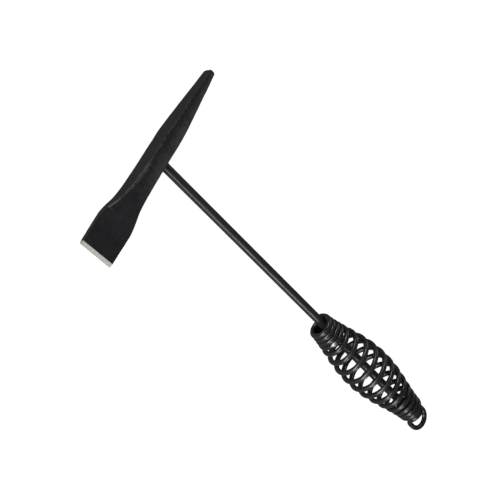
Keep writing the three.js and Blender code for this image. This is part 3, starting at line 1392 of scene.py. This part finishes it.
    def build(self, axes: HammerAxes) -> bpy.types.Object:
        """Winds the grip and lets it stand for its CAD node.

        Args:
            axes: Where the hammer lies.

        Returns:
            The piece.
        """
        values = {
            "Turns": self.turns,
            "Steps per turn": self.steps_per_turn,
            "Close pitch": self.pitch.close,
            "Open pitch": self.pitch.open,
            "Opens from": self.pitch.opens[0],
            "Opens to": self.pitch.opens[1],
            "Closes from": self.pitch.closes[0],
            "Closes to": self.pitch.closes[1],
            "Mouth radius": self.mouth_radius,
            "Belly radius": self.belly_radius,
            "Butt radius": self.butt_radius,
            "Belly shape": self.belly_shape,
            "Start angle": self.start_angle,
            "Wire radius": self.wire_radius,
            "Wire sides": self.wire_sides,
            "Unevenness": self.unevenness,
            "Seed": self.seed,
            "Finish": self.finish.material(),
        }
        mesh = run_tree(self.loop_line(), self.tree(), values)
        self.mark_wear_and_glint(mesh)
        mesh.set_sharp_from_angle(angle=self.cap_angle)
        butt = Matrix.Translation((*self.butt_at, 0.0))
        to_row = axes.matrix() @ butt @ Matrix.Rotation(self.tilt, 4, "Z")
        piece = place_piece("grip_wire", mesh, to_row)
        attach(piece, "grip")
        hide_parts("spring_grip")
        return piece


# ---------------------------------------------------------------- welds


class WeldPlace(Enum):
    """The two places where the hammer is welded."""

    HEAD = "head"
    BUTT = "butt"


@dataclass
class Welds:
    """The fillet bead round the shank at the head and the puddle that fills the last coils."""

    head_at: float = 5.7
    bead_ring: float = 3.6
    bead_radius: float = 1.25
    bead_ripples: int = 15
    bead_ripple_height: float = 0.16
    bead_steps: int = 180
    bead_sides: int = 24
    bead_slant: float = 0.25
    bead_roundness: float = 0.6
    bead_lumps: float = 2.2
    bead_seed: int = 3
    puddle_radius: float = 5.6
    puddle_length: float = 6.0
    puddle_end: float = 292.2
    puddle_offset: float = 1.45
    puddle_sides: int = 64
    lump: float = 0.28
    lump_scale: tuple[float, float] = (3.0, 2.2)
    finish: WeldBlack = field(default_factory=WeldBlack)

    def bead_tree(self) -> bpy.types.NodeTree:
        """Builds the geometry tree that lays a rippled bead round a ring.

        Returns:
            A tree with the bead's sizes as inputs.
        """
        inputs = {
            "Base": (GEOMETRY, None),
            "Ring radius": (FLOAT, 3.5),
            "Bead radius": (FLOAT, 1.2),
            "Ripples": (INTEGER, 12),
            "Ripple height": (FLOAT, 0.1),
            "Seed": (INTEGER, 0),
            "Finish": (MATERIAL, None),
        }
        graph, given, result = open_group("weld_bead", "GeometryNodeTree", inputs, {"Bead": GEOMETRY})
        value = given.outputs
        ring = graph.circle(self.bead_steps, value["Ring radius"])
        section = graph.circle(self.bead_sides, value["Bead radius"])
        bead = graph.add("GeometryNodeCurveToMesh", {"Curve": ring, "Profile Curve": section}).outputs[0]
        place = graph.add("GeometryNodeInputPosition").outputs[0]
        parts = graph.add("ShaderNodeSeparateXYZ", {0: place}).outputs
        angle = graph.math("ARCTAN2", parts[1], parts[0])
        slant = graph.math("MULTIPLY", graph.math("ABSOLUTE", parts[2]), self.bead_slant)
        lean = graph.math("ADD", angle, graph.math("DIVIDE", slant, value["Ring radius"]))
        phase = graph.math("MULTIPLY", lean, graph.math("DIVIDE", value["Ripples"], 2.0))
        wave = graph.math("ABSOLUTE", graph.math("SINE", phase))
        crest = graph.math("POWER", wave, self.bead_roundness)
        shifted = graph.add(
            "ShaderNodeVectorMath", {0: place, 1: graph.combine(value["Seed"], 0.0, 0.0)}, operation="ADD"
        ).outputs[0]
        lumps = graph.math("SUBTRACT", graph.noise(shifted, 0.7, 2.0), 0.5)
        rise = graph.math("ADD", crest, graph.math("MULTIPLY", lumps, self.bead_lumps))
        push = graph.math("MULTIPLY", rise, value["Ripple height"])
        normal = graph.add("GeometryNodeInputNormal").outputs[0]
        offset = graph.add("ShaderNodeVectorMath", {0: normal, "Scale": push}, operation="SCALE").outputs[0]
        rippled = graph.add("GeometryNodeSetPosition", {"Geometry": bead, "Offset": offset}).outputs[0]
        marked = graph.add(
            "GeometryNodeStoreNamedAttribute",
            {"Geometry": rippled, "Name": "edge", "Value": crest},
            data_type="FLOAT",
        ).outputs[0]
        smooth = graph.add("GeometryNodeSetShadeSmooth", {"Geometry": marked}).outputs[0]
        real = graph.add("GeometryNodeRealizeInstances", {0: smooth}).outputs[0]
        dressed = graph.add("GeometryNodeSetMaterial", {"Geometry": real, "Material": value["Finish"]})
        graph.tree.links.new(dressed.outputs[0], result.inputs["Bead"])
        return graph.tree

    def bead_mesh(self, finish: bpy.types.Material) -> bpy.types.Mesh:
        """Lays the bead round the shank at the head.

        Args:
            finish: The weld's material.

        Returns:
            Its mesh in hammer millimetres.
        """
        values = {
            "Ring radius": self.bead_ring,
            "Bead radius": self.bead_radius,
            "Ripples": self.bead_ripples,
            "Ripple height": self.bead_ripple_height,
            "Seed": self.bead_seed,
            "Finish": finish,
        }
        mesh = run_tree(bpy.data.meshes.new("bead_base"), self.bead_tree(), values)
        mesh.transform(Matrix.Translation((self.head_at, 0.0, 0.0)) @ Matrix.Rotation(math.pi / 2, 4, "Y"))
        return mesh

    def puddle_mesh(self, finish: bpy.types.Material) -> bpy.types.Mesh:
        """Builds the lumpy weld between the rod's end and the last coils.

        Args:
            finish: The weld's material.

        Returns:
            Its mesh in hammer millimetres.
        """
        sides, rings, edges = self.puddle_sides, [], []
        scale_along, scale_across = self.lump_scale
        profile = [(0.0, 0.15), (0.0, 0.7), (0.06, 0.92), (0.16, 1.0), (0.5, 1.0), (0.8, 1.0)]
        profile += [
            (0.8 + 0.2 * math.sin(a), 0.12 + 0.88 * math.cos(a))
            for a in np.linspace(0.2, math.pi / 2, 12).tolist()
        ]
        for share, wide in profile:
            ring = []
            for side in range(sides):
                angle = side / sides * 2 * math.pi
                y, z = math.cos(angle), math.sin(angle)
                aside = wide * scale_across
                where = Vector((share * scale_along, y * aside, z * aside))
                lumps = self.lump * noise.fractal(where, 0.8, 2.0, 3)
                radius = wide * self.puddle_radius + lumps * wide
                x = self.puddle_end - self.puddle_length * (1 - share) + lumps * share
                ring.append((x, self.puddle_offset + radius * y, radius * z))
            rings.append(ring)
            edges.append([wide if share > 0.8 else 0.0] * sides)
        mesh = ring_mesh("butt_weld_puddle", np.array(rings), {"edge": np.array(edges)})
        mesh.materials.append(finish)
        return mesh

    def build(self, axes: HammerAxes) -> dict[WeldPlace, bpy.types.Object]:
        """Makes both welds and lets them stand for their CAD nodes.

        Args:
            axes: Where the hammer lies.

        Returns:
            Each weld's piece.
        """
        finish = self.finish.material()
        meshes = {WeldPlace.HEAD: self.bead_mesh(finish), WeldPlace.BUTT: self.puddle_mesh(finish)}
        names = {WeldPlace.HEAD: "head_weld_bead", WeldPlace.BUTT: "butt_weld_puddle"}
        nodes = {WeldPlace.HEAD: "head_weld", WeldPlace.BUTT: "butt_weld"}
        pieces = {}
        for weld, mesh in meshes.items():
            piece = place_piece(names[weld], mesh, axes.matrix())
            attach(piece, "hammer")
            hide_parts(nodes[weld])
            pieces[weld] = piece
        return pieces


# ---------------------------------------------------------------- studio


@dataclass(frozen=True)
class SoftBox:
    """One soft light, aimed at the hammer's middle, with its place in degrees and metres."""

    name: str
    azimuth: float
    elevation: float
    distance: float
    size: tuple[float, float]
    power: float


@dataclass
class Studio:
    """The pale floor, the soft lights and the camera."""

    focal_length: float = 79.2
    sensor_width: float = 36.0
    aim: tuple[float, float, float] = (93.35, 0.78, 0.0)
    azimuth: float = -55.8885
    elevation: float = 51.002
    roll: float = 93.865
    distance: float = 713.97
    floor_size: float = 60.0
    floor_tone: float = 0.4
    floor_glow: float = 0.95
    floor_roughness: float = 0.9
    sky: float = 0.075
    lights: tuple[SoftBox, ...] = (
        SoftBox("low_key", -24.0, 17.0, 1.3, (0.6, 0.35), 9.0),
        SoftBox("coil_key", -56.0, 8.0, 1.3, (0.35, 0.2), 4.0),
        SoftBox("side_key", -108.0, 13.0, 1.4, (0.4, 0.22), 4.2),
        SoftBox("rod_key", 38.0, 28.0, 1.5, (0.6, 0.35), 6.0),
        SoftBox("back_fill", 178.0, 26.0, 1.8, (1.2, 0.8), 3.5),
    )

    @staticmethod
    def direction(azimuth: float, elevation: float) -> Vector:
        """Finds the direction from the hammer towards a place in the studio.

        Args:
            azimuth: The place's bearing in degrees.
            elevation: Its height over the floor in degrees.

        Returns:
            The unit vector.
        """
        a, e = math.radians(azimuth), math.radians(elevation)
        return Vector((math.sin(a) * math.cos(e), -math.cos(a) * math.cos(e), math.sin(e)))

    def floor_material(self) -> bpy.types.Material:
        """Makes the floor, which looks white but throws little light back up at the hammer.

        Returns:
            The floor's material.
        """
        material, graph, surface = open_material("pale_floor")
        surface.inputs["Base Color"].default_value = grey(self.floor_tone)
        surface.inputs["Roughness"].default_value = self.floor_roughness
        surface.inputs["Specular IOR Level"].default_value = 0.0
        surface.inputs["Emission Color"].default_value = grey(1.0)
        seen = graph.add("ShaderNodeLightPath").outputs["Is Camera Ray"]
        glow = graph.math("MULTIPLY", seen, self.floor_glow)
        graph.tree.links.new(glow, surface.inputs["Emission Strength"])
        return material

    def add_floor(self) -> None:
        """Lays a plain pale floor under the hammer."""
        half = self.floor_size / 2
        corners = [(-half, -half, 0.0), (half, -half, 0.0), (half, half, 0.0), (-half, half, 0.0)]
        mesh = bpy.data.meshes.new("floor")
        mesh.from_pydata(corners, [], [(0, 1, 2, 3)])
        mesh.materials.append(self.floor_material())
        floor = bpy.data.objects.new("floor", mesh)
        bpy.context.scene.collection.objects.link(floor)

    def add_lights(self, target: Vector) -> None:
        """Hangs the soft boxes and sets the room's even light.

        Args:
            target: What they are aimed at.
        """
        for box in self.lights:
            lamp = bpy.data.lights.new(box.name, "AREA")
            lamp.shape = "RECTANGLE"
            lamp.size, lamp.size_y = box.size
            lamp.energy = box.power
            towards = self.direction(box.azimuth, box.elevation)
            holder = bpy.data.objects.new(box.name, lamp)
            holder.location = target + towards * box.distance
            holder.rotation_euler = towards.to_track_quat("Z", "Y").to_euler()
            bpy.context.scene.collection.objects.link(holder)
        world = bpy.data.worlds.new("studio")
        world.use_nodes = True
        world.node_tree.nodes["Background"].inputs["Color"].default_value = grey(1.0)
        world.node_tree.nodes["Background"].inputs["Strength"].default_value = self.sky
        bpy.context.scene.world = world

    def add_camera(self, axes: HammerAxes) -> None:
        """Sets up the camera, whose angles are counted from the hammer's own axes.

        Args:
            axes: Where the hammer lies.
        """
        back = self.direction(self.azimuth, self.elevation)
        level = back.to_track_quat("Z", "Y").to_matrix()
        turned = level @ Matrix.Rotation(math.radians(self.roll), 3, "Z")
        place = Vector(self.aim) + back * self.distance
        turn = (axes.matrix().to_3x3() @ turned).normalized()
        data = bpy.data.cameras.new("camera")
        data.sensor_width = self.sensor_width
        data.lens = self.focal_length
        camera = bpy.data.objects.new("camera", data)
        camera.matrix_world = Matrix.Translation(axes.matrix() @ place) @ turn.to_4x4()
        bpy.context.scene.collection.objects.link(camera)
        bpy.context.scene.camera = camera

    def build(self, axes: HammerAxes) -> None:
        """Makes the floor, the lights and the camera.

        Args:
            axes: Where the hammer lies.
        """
        self.add_floor()
        self.add_lights(axes.matrix() @ Vector(self.aim))
        self.add_camera(axes)
        bpy.context.scene.view_settings.view_transform = "Standard"


# ---------------------------------------------------------------- the whole hammer


def corners(box: Sequence[Vector]) -> list[list[float]]:
    """Returns a box's two corners as plain lists."""
    return [list(corner) for corner in box]


def main() -> None:
    """Builds every piece in order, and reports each."""
    logging.basicConfig(level=logging.INFO, format="%(name)s: %(message)s")
    axes = HammerAxes.from_record(frame["record"])
    Studio().build(axes)
    rod_length = axes.length_along("shank_rod")
    builders: list[Callable[[HammerAxes], Any]] = [
        HammerHead().build,
        ShankRod(length=rod_length).build,
        SpringGrip().build,
        Welds().build,
    ]
    for build in builders:
        made = build(axes)
        for piece in made.values() if isinstance(made, dict) else [made]:
            log.info("%s: %d faces", piece.name, len(piece.data.polygons))


if __name__ == "__main__":
    main()
